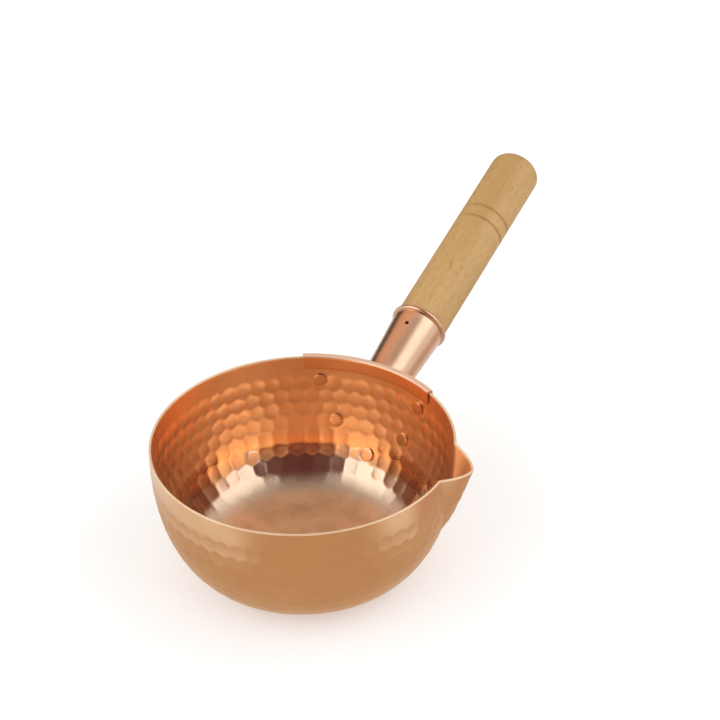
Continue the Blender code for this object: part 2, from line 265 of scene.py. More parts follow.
def profile_table():
    """Drop, radius and height of the outer face, from the rim down to the edge of the flat."""
    turn = np.linspace(0.0, math.pi / 2, PROFILE_POINTS)
    power = 2.0 / CURVE_POWER
    radius = FLAT_RADIUS + (OUTER_RADIUS - FLAT_RADIUS) * np.clip(np.cos(turn), 0.0, 1.0) ** power
    height = (BOWL_HEIGHT - STRAIGHT_BAND) * (1.0 - np.sin(turn) ** power)
    radius = np.concatenate(([OUTER_RADIUS], radius))
    height = np.concatenate(([BOWL_HEIGHT], height))
    steps = np.hypot(np.diff(radius), np.diff(height))
    return np.concatenate(([0.0], np.cumsum(steps))), radius, height


DROPS, RADII, HEIGHTS = profile_table()
FLAT_DROP = float(DROPS[-1])
NORMAL_R = -np.gradient(HEIGHTS, DROPS)
NORMAL_Z = np.gradient(RADII, DROPS)


def wall_point(drop, offset=0.0):
    """(radius, height) this far outside the outer face."""
    radius, height, out_r, out_z = (np.interp(drop, DROPS, c) for c in (RADII, HEIGHTS, NORMAL_R, NORMAL_Z))
    return float(radius + out_r * offset), float(height + out_z * offset)


def radius_at(height, offset):
    """The radius at this height of the face this far outside the outer one."""
    low, high = 0.0, FLAT_DROP
    for _ in range(HALVINGS):
        middle = (low + high) / 2
        if wall_point(middle, offset)[1] > height:
            low = middle
        else:
            high = middle
    return wall_point(low, offset)[0]


# Bowl

SPOUT_COLUMNS = 48
PLAIN_COLUMNS = 464
FLAT_RINGS = (0.86, 0.66, 0.42, 0.18)

# Stretches of the wall from drop to drop, and the rows in each
WALL_ROWS = ((0.0016, 0.0100, 6), (0.0100, 0.0580, 56), (0.0580, 0.0800, 20), (0.0800, FLAT_DROP, 4))


def smooth_step(low, high, value):
    share = np.clip((value - low) / (high - low), 0.0, 1.0)
    return share * share * (3.0 - 2.0 * share)


def between(value, rise, fall):
    """1 between the two fades, and 0 outside them."""
    return smooth_step(*rise, value) * (1.0 - smooth_step(*fall, value))


def column_angles(drop):
    """Angles from the spout's centre, and the place across the spout (or 1 beyond it), for one row."""
    toe = (drop - SPOUT_LENGTH) / (FLAT_DROP - SPOUT_LENGTH)
    share = 1.0 - drop / SPOUT_LENGTH if drop <= SPOUT_LENGTH else toe
    half = SPOUT_TOE_HALF_ANGLE + (SPOUT_HALF_ANGLE - SPOUT_TOE_HALF_ANGLE) * share
    place = np.linspace(-1.0, 1.0, SPOUT_COLUMNS + 1)
    angles = np.linspace(SPOUT_HALF_ANGLE, math.tau - SPOUT_HALF_ANGLE, PLAIN_COLUMNS + 1)[1:-1]
    away = np.minimum(angles, math.tau - angles)
    blend = (away - SPOUT_HALF_ANGLE) / (SPOUT_BLEND_ANGLE - SPOUT_HALF_ANGLE)
    shift = np.where(away < SPOUT_BLEND_ANGLE, half + blend * (SPOUT_BLEND_ANGLE - half) - away, 0.0)
    angles = angles + np.where(angles < math.pi, shift, -shift)
    return np.concatenate((half * place, angles)), np.concatenate((place, np.ones(len(angles))))


def bowl_face(drops):
    """The smooth outer face as points (rows, columns, 3), and each point's azimuth."""
    outward = np.array(around(1.0, SPOUT_AZIMUTH, 0.0))
    points, azimuths = [], []
    for drop in drops:
        angles, place = column_angles(drop)
        share = max(0.0, 1.0 - drop / SPOUT_LENGTH)
        crown = (1.0 - np.abs(place) ** FLANK_POWER) * (drop <= SPOUT_LENGTH)
        straight = SPOUT_TOE_STEP + (SPOUT_REACH - LIP_FLARE - SPOUT_TOE_STEP) * share
        push = crown * (straight + LIP_FLARE * share**LIP_FLARE_POWER)
        radius, height = wall_point(drop)
        azimuth = SPOUT_AZIMUTH + angles
        row = np.stack((radius * np.cos(azimuth), radius * np.sin(azimuth), height - crown * LIP_DIP * share), 1)
        points.append(row + push[:, None] * outward)
        azimuths.append(azimuth)
    return np.array(points), np.array(azimuths)


def face_normals(points):
    """Outward unit normals of a grid of points whose columns close round the bowl."""
    down = np.gradient(points, axis=0)
    round_about = np.roll(points, -1, axis=1) - np.roll(points, 1, axis=1)
    normals = np.cross(down, round_about)
    normals /= np.linalg.norm(normals, axis=2, keepdims=True)
    return -normals if np.sum(normals[0] * points[0] * (1.0, 1.0, 0.0)) < 0 else normals


def hammer_height(drops, azimuths):
    """How far each point stands proud of the smooth inner face, as low domes that meet in soft valleys."""
    rng = np.random.default_rng(MARK_SEED)
    radii = np.interp(drops, DROPS, RADII)[:, None]
    total = np.ones(azimuths.shape)
    for row_drop, count, phase, tall in HAMMER_ROWS:
        pitch = math.tau / count
        shift_round = rng.uniform(-MARK_SHIFT_ROUND, MARK_SHIFT_ROUND, count) * pitch
        shift_down = rng.uniform(-MARK_SHIFT_DOWN, MARK_SHIFT_DOWN, count)
        size = rng.uniform(*MARK_SIZES, count)
        strength = rng.uniform(*MARK_STRENGTHS, count)
        near = np.rint((azimuths - math.radians(phase)) / pitch).astype(int)
        for step in (-1, 0, 1):
            mark = near + step
            k = mark % count
            across = (azimuths - math.radians(phase) - mark * pitch - shift_round[k]) * radii
            along = drops[:, None] - row_drop - shift_down[k]
            apart = np.hypot(across, along) / (MARK_RADIUS * size[k])
            dome = tall * strength[k] * (1.0 - np.minimum(apart, MARK_CUT) ** MARK_POWER)
            total += np.exp(dome / MARK_BLEND)
    return MARK_BLEND * np.log(total)


def hammer_weight(drops, points, azimuths):
    """The share of their height that the marks keep: less on the spout, beside rivets and in one flattened patch."""
    angle = np.abs((azimuths - SPOUT_AZIMUTH + math.pi) % math.tau - math.pi)
    weight = smooth_step(*(SPOUT_HALF_ANGLE * share for share in SPOUT_FADE), angle)
    weight = np.maximum(weight, smooth_step(SPOUT_LENGTH, SPOUT_LENGTH + TOE_FADE, drops)[:, None])
    for drop, across in RIVET_SITES:
        radius, height = wall_point(drop)
        centre = np.array(around(radius, across / radius, height))
        apart = np.linalg.norm(points - centre, axis=2)
        weight = weight * (RIVET_MARK_SHARE + (1.0 - RIVET_MARK_SHARE) * smooth_step(*RIVET_FADE, apart))
    degrees = (np.degrees(azimuths) + 180.0) % 360.0 - 180.0
    patch = between(degrees, *PATCH_DEGREES) * between(drops, *PATCH_DROPS)[:, None]
    return weight * (1.0 - PATCH_LOSS * patch)


def make_bowl(inside, outside, edge):
    drops = np.array([0.0, WALL_ROWS[0][0]] + [drop for stretch in WALL_ROWS for drop in spaced(*stretch)[1:]])
    face, azimuths = bowl_face(drops)
    normals = face_normals(face)
    marks = hammer_height(drops, azimuths)
    weight = hammer_weight(drops, face, azimuths)
    outer = face - normals * (marks * OUTSIDE_MARK_SHARE)[:, :, None]
    inner = face - normals * (WALL + marks * weight)[:, :, None]
    up = face[0] - face[1]
    up /= np.linalg.norm(up, axis=1, keepdims=True)
    rim = []
    for inward, first in ((WALL - LIP_ROUND, 0.0), (LIP_ROUND, math.pi / 2)):
        centre = face[0] - up * LIP_ROUND - normals[0] * inward
        for turn in spaced(first, first + math.pi / 2, LIP_STEPS):
            rim.append(centre + LIP_ROUND * (up * math.sin(turn) - normals[0] * math.cos(turn)))
    floor = [inner[-1] * (share, share, 1.0) for share in FLAT_RINGS[::-1]]
    under = [outer[-1] * (share, share, 1.0) for share in FLAT_RINGS]
    inner_rows = floor + list(inner[:0:-1]) + rim[:LIP_STEPS + 1]
    outer_rows = rim[LIP_STEPS + 1:] + list(outer[1:]) + under
    count = face.shape[1]
    rows = len(inner_rows) + len(outer_rows)
    vertices = np.concatenate(inner_rows + outer_rows).tolist()
    faces = ring_faces(rows, count)
    slots = [0] * (count * (len(inner_rows) - LIP_STEPS - 1)) + [2] * (count * (len(rim) - 1))
    slots += [1] * (len(faces) - len(slots))
    top, bottom, last = len(vertices), len(vertices) + 1, (rows - 1) * count
    vertices += [(0.0, 0.0, WALL), (0.0, 0.0, 0.0)]
    for j in range(count):
        k = (j + 1) % count
        faces += [(top, j, k), (bottom, last + k, last + j)]
        slots += [0, 1]
    return make_object("bowl_shell", vertices, faces, [inside, outside, edge], None, slots)


# Bracket

def plate_half_width(drop):
    """Down to the lower rivets the edge keeps clear of each one, and below them it runs to a round tip."""
    upper_drop, upper_offset = UPPER_RIVET
    lower_drop, lower_offset = LOWER_RIVET
    if drop <= upper_drop:
        share = drop / upper_drop
        return BRACKET_HALF_WIDTH + (upper_offset + RIVET_EDGE_MARGIN - BRACKET_HALF_WIDTH) * share
    if drop <= lower_drop:
        share = (drop - upper_drop) / (lower_drop - upper_drop)
        return upper_offset + (lower_offset - upper_offset) * share + RIVET_EDGE_MARGIN
    shoulder = lower_offset + RIVET_EDGE_MARGIN
    run = LAST_RIVET[0] - lower_drop
    reach = math.hypot(run, shoulder)
    slope = math.asin(RIVET_EDGE_MARGIN / reach) - math.atan2(shoulder, run)
    tangent = math.sqrt(reach**2 - RIVET_EDGE_MARGIN**2) * math.cos(slope)
    if drop <= lower_drop + tangent:
        return shoulder + (drop - lower_drop) * math.tan(slope)
    return math.sqrt(max(RIVET_EDGE_MARGIN**2 - (drop - LAST_RIVET[0]) ** 2, 0.0))


def plate_section(offset):
    """(radius, height, half angle) from the flap's edge, over the rim and down to the plate's end."""
    top_angle = BRACKET_HALF_WIDTH / OUTER_RADIUS
    section = [(*wall_point(drop, -WALL - offset), top_angle) for drop in spaced(FLAP_LENGTH, FLAP_TOP, 4)]
    for edge, first in ((MOUTH_RADIUS, math.pi), (OUTER_RADIUS, math.pi / 2)):
        for turn in spaced(first, first - math.pi / 2, 5):
            point = (edge + offset * math.cos(turn), BOWL_HEIGHT + offset * math.sin(turn))
            section.append((*point, top_angle))
    straight = spaced(0.0, LAST_RIVET[0] + PLATE_BOW_START, 34)[1:]
    reach = RIVET_EDGE_MARGIN - PLATE_END_TRIM
    bow = [LAST_RIVET[0] + reach * math.sin(turn) for turn in spaced(PLATE_BOW_TURN, math.pi / 2, 8)]
    for drop in straight + bow:
        radius, height = wall_point(drop, offset)
        section.append((radius, height, plate_half_width(drop) / wall_point(drop)[0]))
    return section


def make_bracket(material):
    near = plate_section(SEAT_GAP)
    far = plate_section(SEAT_GAP + PLATE)
    loop = near + far[::-1]
    places = spaced(-1.0, 1.0, PLATE_COLUMNS)
    width = len(places)
    vertices = [around(radius, angle * place, height) for radius, height, angle in loop for place in places]
    faces = grid_faces(len(loop) - 1, PLATE_COLUMNS)
    last = (len(loop) - 1) * width
    faces += [(last + j, last + j + 1, j + 1, j) for j in range(PLATE_COLUMNS)]
    for i in range(len(near) - 1):
        m, n = len(loop) - 1 - i, len(loop) - 2 - i
        for side in (0, width - 1):
            faces.append((i * width + side, (i + 1) * width + side, n * width + side, m * width + side))
    thing = make_object("bracket_plate", vertices, faces, [material])
    bevel(thing, PLATE_BEVEL, 2, 50)
    return thing


# Rivets

def rivet_place(drop, across):
    """Local Z points out of the bowl, from the outer face."""
    radius, height = wall_point(drop)
    out_r, out_z = (float(np.interp(drop, DROPS, c)) for c in (NORMAL_R, NORMAL_Z))
    azimuth = across / radius
    normal = around(out_r, azimuth, out_z)
    turn = normal.to_track_quat("Z", "Y").to_matrix().to_4x4()
    return Matrix.Translation(around(radius, azimuth, height)) @ turn


def make_rivets(material):
    head = -WALL - SEAT_GAP
    tail = 2 * SEAT_GAP + PLATE
    face = head - RIVET_HEAD_THICKNESS
    profile = [(face - RIVET_HEAD_CROWN, 0.0), (face - RIVET_HEAD_CROWN * 0.75, RIVET_HEAD_RADIUS * 0.5)]
    for turn in spaced(0.0, math.pi / 2, 4):
        inward = RIVET_HEAD_ROUND * (1.0 - math.sin(turn))
        profile.append((face + RIVET_HEAD_ROUND * (1.0 - math.cos(turn)), RIVET_HEAD_RADIUS - inward))
    profile += [(head, RIVET_HEAD_RADIUS), (head, RIVET_RADIUS), (tail, RIVET_RADIUS)]
    profile += [
        (tail + RIVET_TAIL_HEIGHT * math.sin(turn), RIVET_TAIL_RADIUS * math.cos(turn))
        for turn in spaced(0.0, math.pi / 2, 8)[:-1]
    ]
    profile.append((tail + RIVET_TAIL_HEIGHT, 0.0))
    rivets = []
    for number, site in enumerate(RIVET_SITES, 1):
        rivet = turned(f"rivet_copper_{number}", profile, 40, material, rivet_place(*site))
        sharpen(rivet, 50)
        rivets.append(rivet)
    return rivets


# Handle

def axis_matrix():
    """Local Z runs out along the handle, and local -X is the upper side."""
    crossing = Vector((OUTER_RADIUS, 0.0, BOWL_HEIGHT - AXIS_DROP))
    return Matrix.Translation(crossing) @ Matrix.Rotation(math.pi / 2 - HANDLE_RISE, 4, "Y")


def tube_radius(along):
    return SOCKET_SMALL_RADIUS + (SOCKET_LARGE_RADIUS - SOCKET_SMALL_RADIUS) / SOCKET_MOUTH * along


def foot_along(turn, extra):
    """Where the tube's line at this turn, widened by extra, ends on the bracket's plate."""
    place = axis_matrix()
    low, high = -2 * SOCKET_LARGE_RADIUS, SOCKET_MOUTH / 2
    for _ in range(FOOT_HALVINGS):
        middle = (low + high) / 2
        point = place @ around(tube_radius(middle) + extra, turn, middle)
        if math.hypot(point.x, point.y) > radius_at(point.z, 2 * SEAT_GAP + PLATE):
            high = middle
        else:
            low = middle
    return high


def mouth_bore():
    """The socket's inner radius at its mouth."""
    return tube_radius(SOCKET_MOUTH - BEAD_RADIUS) - SOCKET_WALL


def make_socket(material):
    turns = [math.tau * i / HANDLE_STEPS for i in range(HANDLE_STEPS)]
    rows = []
    for share in FOOT_SHARES:
        extra = FOOT_FLARE * (1.0 - share) ** 2
        lift = FOOT_FLARE_LENGTH * share
        feet = [foot_along(turn, extra) + lift for turn in turns]
        rows.append([around(tube_radius(a) + extra, t, a) for a, t in zip(feet, turns)])
    centre = SOCKET_MOUTH - BEAD_RADIUS
    ring = mouth_bore() + BEAD_RADIUS
    crease = -math.asin(min(1.0, max(0.0, 1.0 - SOCKET_WALL / BEAD_RADIUS)))
    bead = [
        (centre - BEAD_RADIUS * math.cos(turn), ring + BEAD_RADIUS * math.sin(turn))
        for turn in spaced(crease, 1.5 * math.pi, 18)
    ]
    neck = bead[0][0]
    middle = [(along, tube_radius(along)) for along in TUBE_STATIONS]
    middle += [(neck - before, tube_radius(neck) - depth) for before, depth in CREASE_STATIONS]
    inner = (TUBE_INNER_STATION, tube_radius(TUBE_INNER_STATION) - SOCKET_WALL)
    for along, radius in middle + bead + [inner]:
        rows.append([around(radius, t, along) for t in turns])
    feet = [foot_along(turn, -SOCKET_WALL) for turn in turns]
    rows.append([around(tube_radius(a) - SOCKET_WALL, t, a) for a, t in zip(feet, turns)])
    vertices = [point for row in rows for point in row]
    faces = ring_faces(len(rows), HANDLE_STEPS, closed_rows=True)
    socket = make_object("socket_tube", vertices, faces, [material], axis_matrix())
    high = tube_radius(SOCKET_MOUTH) + NAIL_HOLE_REACH
    low = high / 2
    radius = NAIL_HEAD_RADIUS + SEAT_GAP
    drill = turned("drill", [(low, 0.0), (low, radius), (high, radius), (high, 0.0)], 32, material, nail_matrix())
    hole = socket.modifiers.new("nail hole", "BOOLEAN")
    hole.operation = "DIFFERENCE"
    hole.solver = "EXACT"
    hole.object = drill
    bake_modifiers(socket)
    bpy.data.objects.remove(drill, do_unlink=True)
    sharpen(socket, 40)
    return socket


def make_grip(material):
    start = SOCKET_MOUTH - TENON_LENGTH
    shoulder = SOCKET_MOUTH + SEAT_GAP
    end = SOCKET_MOUTH + GRIP_LENGTH
    tenon = tube_radius(start) - SOCKET_WALL - SEAT_GAP
    profile = [(start, 0.0), (start, tenon), (shoulder, mouth_bore() - SEAT_GAP)]
    for turn in spaced(0.0, math.pi / 2, 4):
        drop = (GRIP_RADIUS - mouth_bore() + SEAT_GAP) * (1.0 - math.sin(turn))
        profile.append((shoulder + SHOULDER_LENGTH * (1.0 - math.cos(turn)), GRIP_RADIUS - drop))
    first_groove = end - FIRST_GROOVE_FROM_END
    inner_power, outer_power = GROOVE_POWERS
    for centre in (first_groove - GROOVE_SPACING, first_groove):
        for place in spaced(-1.0, 1.0, 8):
            cut = GROOVE_DEPTH * (1.0 - abs(place) ** inner_power) ** outer_power
            profile.append((centre + place * GROOVE_WIDTH / 2, GRIP_RADIUS - cut))
    for along in spaced(first_groove + PLAIN_MARGINS[0], end - END_ROUNDING - PLAIN_MARGINS[1], 4):
        profile.append((along, GRIP_RADIUS))
    for turn in spaced(0.0, math.pi / 2, 12):
        radius = GRIP_RADIUS - END_ROUNDING + END_ROUNDING * math.cos(turn)
        crown = END_CROWN * (1.0 - (radius / GRIP_RADIUS) ** 2) * math.sin(turn)
        profile.append((end - END_ROUNDING + END_ROUNDING * math.sin(turn) + crown * 0.6, radius))
    profile += [(end + END_CROWN * 0.8, END_CENTRE_RADIUS), (end + END_CROWN, 0.0)]
    grip = turned("wood_grip", profile, HANDLE_STEPS, material, axis_matrix())
    sharpen(grip, 60)
    return grip


def nail_matrix():
    """Local Z points up out of the socket, square to the handle axis, from that axis."""
    along = Matrix.Translation((0.0, 0.0, SOCKET_MOUTH - NAIL_FROM_MOUTH))
    return axis_matrix() @ along @ Matrix.Rotation(-math.pi / 2, 4, "Y")


def make_nail(material):
    top = tube_radius(SOCKET_MOUTH - NAIL_FROM_MOUTH) - NAIL_SINK
    profile = [
        (top - NAIL_LENGTH, 0.0),
        (top - NAIL_LENGTH + NAIL_POINT, NAIL_RADIUS),
        (top - NAIL_HEAD_THICKNESS, NAIL_RADIUS),
        (top - NAIL_HEAD_THICKNESS, NAIL_HEAD_RADIUS),
        *((top - below, NAIL_HEAD_RADIUS * share) for below, share in NAIL_HEAD_EDGES),
        (top, 0.0),
    ]
    nail = turned("nail_steel", profile, 24, material, nail_matrix())
    sharpen(nail, 50)
    return nail


# Materials

# Noise as (scale, detail, roughness)
CLOUDS = (55.0, 3.0, 0.55)
SPECKS = (900.0, 2.0, 0.6)
LINES = (1.0, 3.0, 0.6)
PITS = (420.0, 3.0, 0.6)
SCUFFS = (210.0, 5.0, 0.65)
STAINS = (75.0, 3.0, 0.6)

# The part of a noise's range that most of it fills
MIDDLE = (0.3, 0.7)

LINE_TURNS = 1.5
LINES_PER_METRE = 1400.0
LINE_DEPTH = 0.000001
PIT_DEPTH = 0.000005
SATIN_WALL = (0.022, 0.030, 0.16)
# The fold's top over the rim: paler and less metal, partly wear and partly a painted highlight.
PALE_FOLD_TOP = (BOWL_HEIGHT + 0.0002, BOWL_HEIGHT + 0.0010, (0.84, 0.60, 0.44))
FOLD_TOP_METAL = 0.35

# The bowl's bottom inside, by heights: rough, dull and pale up to the first, and as the wall is above the second
ROUGH_HEIGHTS = (0.0013, 0.0112)
DULL_HEIGHTS = (0.0013, 0.0055)
PALE_HEIGHTS = (0.0165, 0.0235)
DULL_COLOR = (0.84, 0.56, 0.34)
STAIN_SHARE = 0.84
PALE_COLOR = (0.58, 0.43, 0.31)
DULL_METAL = 0.75
SCOURED_ROUGHNESS = 0.60
SCOURED_SPREAD = 0.08
SCUFF_DEPTH = 0.00018

WOOD_LIGHT = (0.68, 0.42, 0.165)
WOOD_MIDDLE = (0.55, 0.32, 0.110)
WOOD_MOTTLE = (0.50, 0.27, 0.085)
WOOD_FLECK = (0.30, 0.15, 0.05)
STEEL = (0.035, 0.03, 0.028)
RUST = (0.10, 0.05, 0.03)


class Nodes:
    """Short calls for building one material's nodes."""

    def __init__(self, name):
        self.material = bpy.data.materials.new(name)
        self.material.use_nodes = True
        self.tree = self.material.node_tree
        self.shader = self.tree.nodes["Principled BSDF"]

    def link(self, source, target):
        self.tree.links.new(source, target)

    def put(self, socket, value):
        if isinstance(value, bpy.types.NodeSocket):
            self.link(value, socket)
        else:
            socket.default_value = value

    def place(self):
        return self.tree.nodes.new("ShaderNodeTexCoord").outputs["Object"]

    def place_along(self, matrix):
        """The place in this matrix's own frame."""
        local = self.tree.nodes.new("ShaderNodeMapping")
        local.vector_type = "TEXTURE"
        local.inputs["Location"].default_value = matrix.translation
        local.inputs["Rotation"].default_value = matrix.to_euler()
        self.link(self.place(), local.inputs["Vector"])
        return local.outputs["Vector"]

    def vector_math(self, operation, first, second=None, output="Vector"):
        node = self.tree.nodes.new("ShaderNodeVectorMath")
        node.operation = operation
        self.link(first, node.inputs[0])
        if second is not None:
            self.put(node.inputs[1], second)
        return node.outputs[output]

    def stretch(self, vector, scale):
        return self.vector_math("MULTIPLY", vector, scale)

    def polar(self, turns, rise):
        """(cos, sin) of the azimuth and the height, for lines that run round the bowl."""
        place = self.place()
        unit = self.vector_math("NORMALIZE", self.stretch(place, (1.0, 1.0, 0.0)))
        return self.vector_math("ADD", self.stretch(unit, (turns, turns, 0.0)), self.stretch(place, (0.0, 0.0, rise)))

    def height(self, vector):
        node = self.tree.nodes.new("ShaderNodeSeparateXYZ")
        self.link(vector, node.inputs["Vector"])
        return node.outputs["Z"]

    def noise(self, vector, scale, detail=2.0, roughness=0.5):
        node = self.tree.nodes.new("ShaderNodeTexNoise")
        self.link(vector, node.inputs["Vector"])
        node.inputs["Scale"].default_value = scale
        node.inputs["Detail"].default_value = detail
        node.inputs["Roughness"].default_value = roughness
        return node.outputs["Fac"]

    def span(self, value, low, high, to_low=0.0, to_high=1.0, smooth=False):
        node = self.tree.nodes.new("ShaderNodeMapRange")
        node.interpolation_type = "SMOOTHSTEP" if smooth else "LINEAR"
        self.link(value, node.inputs["Value"])
        for name, number in (("From Min", low), ("From Max", high), ("To Min", to_low), ("To Max", to_high)):
            node.inputs[name].default_value = number
        return node.outputs["Result"]

    def math(self, operation, first, second):
        node = self.tree.nodes.new("ShaderNodeMath")
        node.operation = operation
        self.put(node.inputs[0], first)
        self.put(node.inputs[1], second)
        return node.outputs["Value"]

    def mix(self, share, first, second):
        node = self.tree.nodes.new("ShaderNodeMix")
        node.data_type = "RGBA"
        self.put(node.inputs["Factor"], share)
        for socket, value in ((node.inputs[6], first), (node.inputs[7], second)):
            if isinstance(value, bpy.types.NodeSocket):
                self.link(value, socket)
            else:
                socket.default_value = (*value, 1.0)
        return node.outputs[2]

    def bump(self, height, distance, strength=1.0, after=None):
        node = self.tree.nodes.new("ShaderNodeBump")
        node.inputs["Strength"].default_value = strength
        node.inputs["Distance"].default_value = distance
        self.link(height, node.inputs["Height"])
        if after is not None:
            self.link(after, node.inputs["Normal"])
        return node.outputs["Normal"]

    def finish(self, color, roughness, normal=None, metallic=0.0):
        self.put(self.shader.inputs["Base Color"], color)
        self.put(self.shader.inputs["Roughness"], roughness)
        self.put(self.shader.inputs["Metallic"], metallic)
        if normal is not None:
            self.link(normal, self.shader.inputs["Normal"])
        return self.material


def scoured(n, place, shade, rough, normal):
    """Colour, roughness, metal and normal of the bowl's bottom: dull and scuffed on the flat, pale round it."""
    height = n.height(place)
    bottom = n.span(height, *ROUGH_HEIGHTS, 1.0, 0.0, True)
    dulled = n.span(height, *DULL_HEIGHTS, 1.0, 0.0, True)
    stains = n.span(n.noise(place, *STAINS), 0.42, 0.62)
    stained = n.mix(stains, DULL_COLOR, tuple(STAIN_SHARE * c for c in DULL_COLOR))
    shade = n.mix(n.span(height, *PALE_HEIGHTS, 1.0, 0.0, True), shade, PALE_COLOR)
    shade = n.mix(dulled, shade, stained)
    scuffs = n.noise(n.stretch(place, (1.0, 1.0, 0.2)), *SCUFFS)
    scuffed = n.span(scuffs, *MIDDLE, SCOURED_ROUGHNESS - SCOURED_SPREAD, SCOURED_ROUGHNESS + SCOURED_SPREAD)
    rough = n.math("ADD", rough, n.math("MULTIPLY", bottom, n.math("SUBTRACT", scuffed, rough)))
    normal = n.bump(n.math("MULTIPLY", scuffs, bottom), SCUFF_DEPTH, 1.0, normal)
    return shade, rough, n.span(dulled, 0.0, 1.0, 1.0, DULL_METAL), normal


def copper(name, color, deep, polish, brushed, pits, satin=None, pale_top=None, metal=1.0, bottom=False):
    """Bare copper: cloudy from color to deep, uneven polish, fine lines round the bowl and small pits.

    satin is (low, high, added roughness) for the wall above the height high. The argument after it is (low, high,
    color): above high the top has this color and less metal, partly wear and partly a painted highlight. bottom adds
    the bowl's scoured bottom, for a full metal.
    """
    n = Nodes(name)
    place = n.place()
    clouds = n.noise(place, *CLOUDS)
    lines = n.noise(n.polar(LINE_TURNS, LINES_PER_METRE), *LINES)
    shade = n.mix(n.span(clouds, 0.35, 0.68), color, deep)
    rough = n.math("ADD", n.span(clouds, *MIDDLE, *polish), n.span(lines, *MIDDLE, -brushed, brushed))
    rough = n.math("ADD", rough, n.span(n.noise(place, *SPECKS), 0.5, 0.8, 0.0, 0.05))
    normal = n.bump(lines, LINE_DEPTH, 0.3)
    metallic = metal
    if satin is not None:
        low, high, added = satin
        rough = n.math("ADD", rough, n.span(n.height(place), low, high, 0.0, added, True))
    if pale_top is not None:
        # Above high the top is paler and less metal: partly wear, partly a painted highlight.
        low, high, top_color = pale_top
        shade = n.mix(n.span(n.height(place), low, high), shade, top_color)
        metallic = n.span(n.height(place), low, high, metal, FOLD_TOP_METAL)
    if bottom:
        shade, rough, metallic, normal = scoured(n, place, shade, rough, normal)
    normal = n.bump(n.noise(place, *PITS), pits, 1.0, normal)
    return n.finish(shade, rough, normal, metallic)


def wood():
    """Beech: pale, with faint long grain, mottling and short dark flecks along the handle."""
    n = Nodes("beech")
    along = n.place_along(axis_matrix())
    grain = n.noise(n.stretch(along, (260.0, 260.0, 14.0)), 1.0, 4.0, 0.6)
    broad = n.noise(n.stretch(along, (60.0, 60.0, 9.0)), 1.0, 2.0, 0.5)
    mottle = n.noise(n.stretch(along, (700.0, 700.0, 240.0)), 1.0, 3.0, 0.6)
    flecks = n.noise(n.stretch(along, (1000.0, 1000.0, 260.0)), 1.0, 1.0, 0.4)
    fleck = n.span(flecks, 0.66, 0.78, 0.0, 0.5)
    color = n.mix(n.span(broad, 0.35, 0.65), WOOD_LIGHT, WOOD_MIDDLE)
    color = n.mix(n.span(grain, 0.40, 0.70, 0.0, 0.5), color, WOOD_MIDDLE)
    color = n.mix(n.span(mottle, 0.40, 0.65, 0.0, 0.45), color, WOOD_MOTTLE)
    color = n.mix(fleck, color, WOOD_FLECK)
    normal = n.bump(n.math("SUBTRACT", grain, fleck), 0.00006, 0.6)
    return n.finish(color, n.span(grain, *MIDDLE, 0.5, 0.62), normal)


def steel():
    n = Nodes("dark_steel")
    rust = n.noise(n.place(), 2500.0, 2.0, 0.5)
    color = n.mix(n.span(rust, 0.4, 0.7), STEEL, RUST)
    return n.finish(color, n.span(rust, *MIDDLE, 0.5, 0.7), n.bump(rust, 0.00005), metallic=1.0)


# Stage

CAMERA_YAW = math.radians(-60.83)
CAMERA_PITCH = math.radians(33.498)
CAMERA_ROLL = math.radians(1.345)
CAMERA_DISTANCE = 15 * OUTER_RADIUS
FOCAL_PIXELS = 2309.6
FRAME_PIXELS = 720
RIM_CENTRE_PIXEL = (302.50, 440.35)
SENSOR = 36.0
CLIP = (0.05, 50.0)

WHITE = (1.0, 1.0, 1.0)
ROOM_RADIUS = 2.5
ROOM_LIGHT = 0.66
FLOOR_RADIUS = 6.0
FLOOR_COLOR = (0.80, 0.80, 0.80)
FLOOR_ROUGHNESS = 0.9
FLOOR_GLOW = 0.36

# Soft boxes: name, then azimuth from the camera's side, elevation, width and height in degrees, and radiance
SOFT_BOXES = (
    ("left_soft_box", -64, 40, 56, 38, 1.18),
    ("right_soft_box", 77, 45, 64, 40, 0.97),
)

# The cards that only the metal shows; levels are (degrees of climb, color)
VAULT_SIDES = (math.radians(-32), math.radians(40))
VAULT_TAPER = 0.55
VAULT_TAPER_CLIMB = (math.radians(48), math.radians(78))
VAULT_LEVELS = (
    (6, (0.19, 0.062, 0.058)),
    (56, (0.18, 0.062, 0.058)),
    (66, (0.18, 0.10, 0.09)),
    (80, (0.20, 0.14, 0.11)),
    (90, (0.28, 0.21, 0.17)),
    (100, (0.50, 0.45, 0.41)),
    (130, (0.75, 0.72, 0.70)),
)
CEILING_LEVEL = 0.75
CEILING_HEIGHT = 2.6
CEILING_RADIUS = 1.5
BACK_CARD_DISTANCE = 0.47
BACK_CARD_LEVELS = (
    (0, (0.04, 0.03, 0.03)),
    (24, (0.05, 0.03, 0.03)),
    (28, (0.92, 0.46, 0.26)),
    (45, (0.92, 0.53, 0.32)),
    (62, (0.92, 0.55, 0.35)),
    (74, WHITE),
)
BACK_CARD_FADE = (math.radians(20), math.radians(48))
# Front card: warm in front, and all round within the fade radii as a painted shadow and copper bounce light of the
# pan on the table
FRONT_CARD_COLOR = (0.69, 0.53, 0.39)
FRONT_CARD_RADII = (0.03, 0.7)
FRONT_CARD_HEIGHT = 0.0004
FRONT_CARD_AZIMUTH = math.radians(6.5)
FRONT_CARD_FADE = (math.radians(25), math.radians(50))
FRONT_CARD_FADE_RADII = (0.097, 0.150)
# Side card: a painted shade on the right, seen in the spout's reflection
SIDE_CARD_AZIMUTH = math.radians(101)
SIDE_CARD_COLOR = (0.72, 0.52, 0.44)
SIDE_CARD_FADE = (math.radians(24), math.radians(36))


